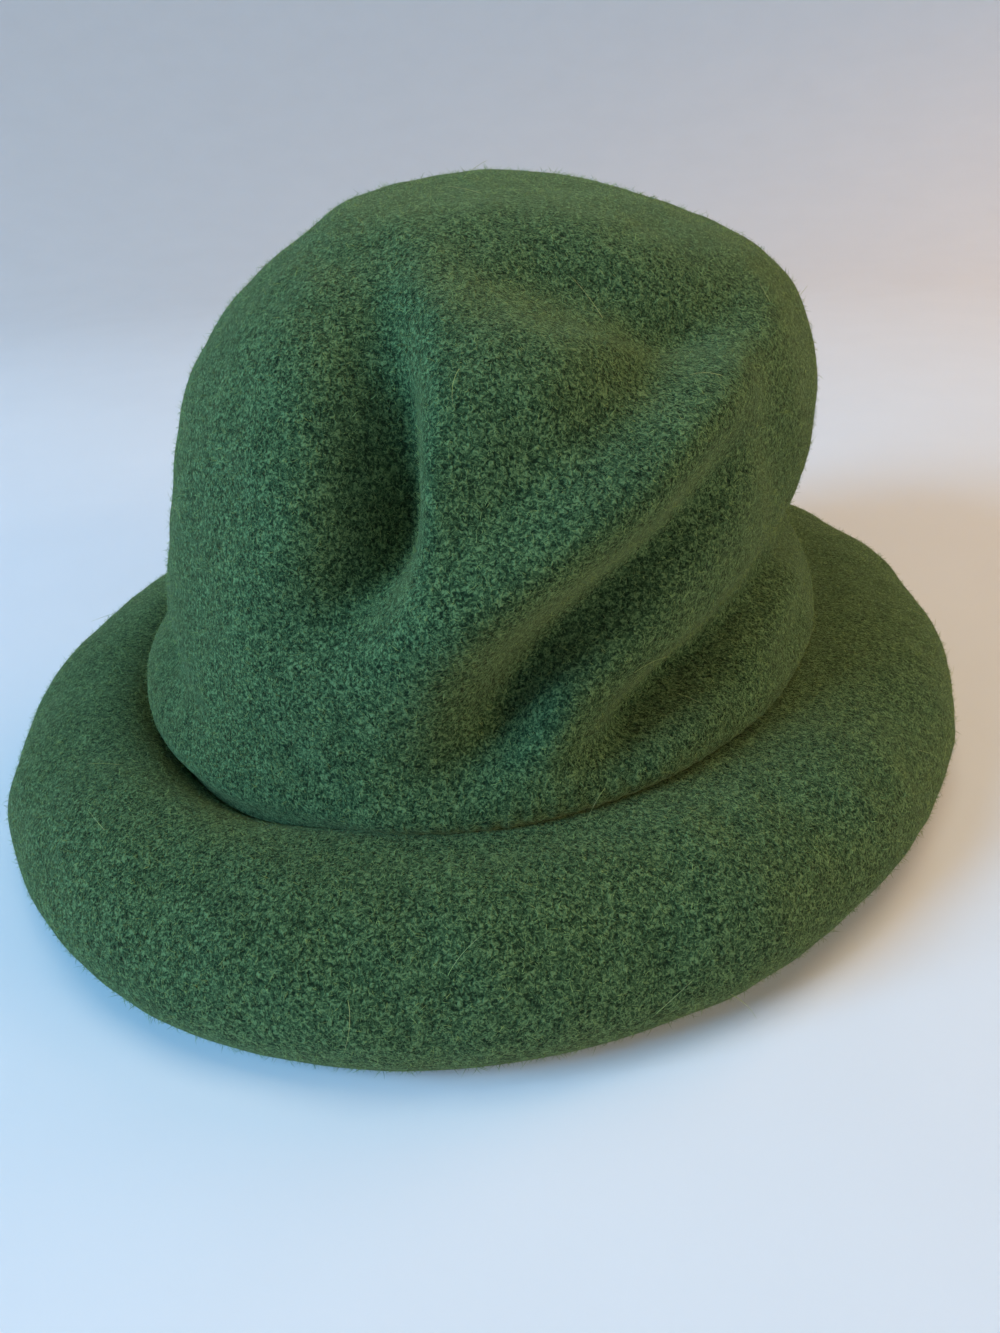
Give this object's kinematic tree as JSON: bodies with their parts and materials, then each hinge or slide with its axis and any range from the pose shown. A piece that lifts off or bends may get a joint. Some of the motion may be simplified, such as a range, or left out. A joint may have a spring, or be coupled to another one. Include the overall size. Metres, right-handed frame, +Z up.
{
  "type": "rolled-brim cloche hat",
  "caption": "Soft felted-wool cloche hat: a hollow creased crown on a plump rolled brim, resting on its brim.",
  "frame": {"origin": "on the surface the hat rests on, at the middle of the brim's outline", "axes": "+Z up out of the crown's top, X across the head opening, Y along the head opening, with -Y the side that the crown's folds face"},
  "size_m": [0.2536, 0.2936, 0.1415],
  "materials": {
    "crown_felt": "fulled wool felt with a short fuzzy nap, matt, forest green",
    "brim_felt": "fulled wool felt with a short fuzzy nap, matt, forest green"
  },
  "bodies": {
    "root": {"crown": "crown_felt", "brim": "brim_felt"}
  },
  "joints": []
}
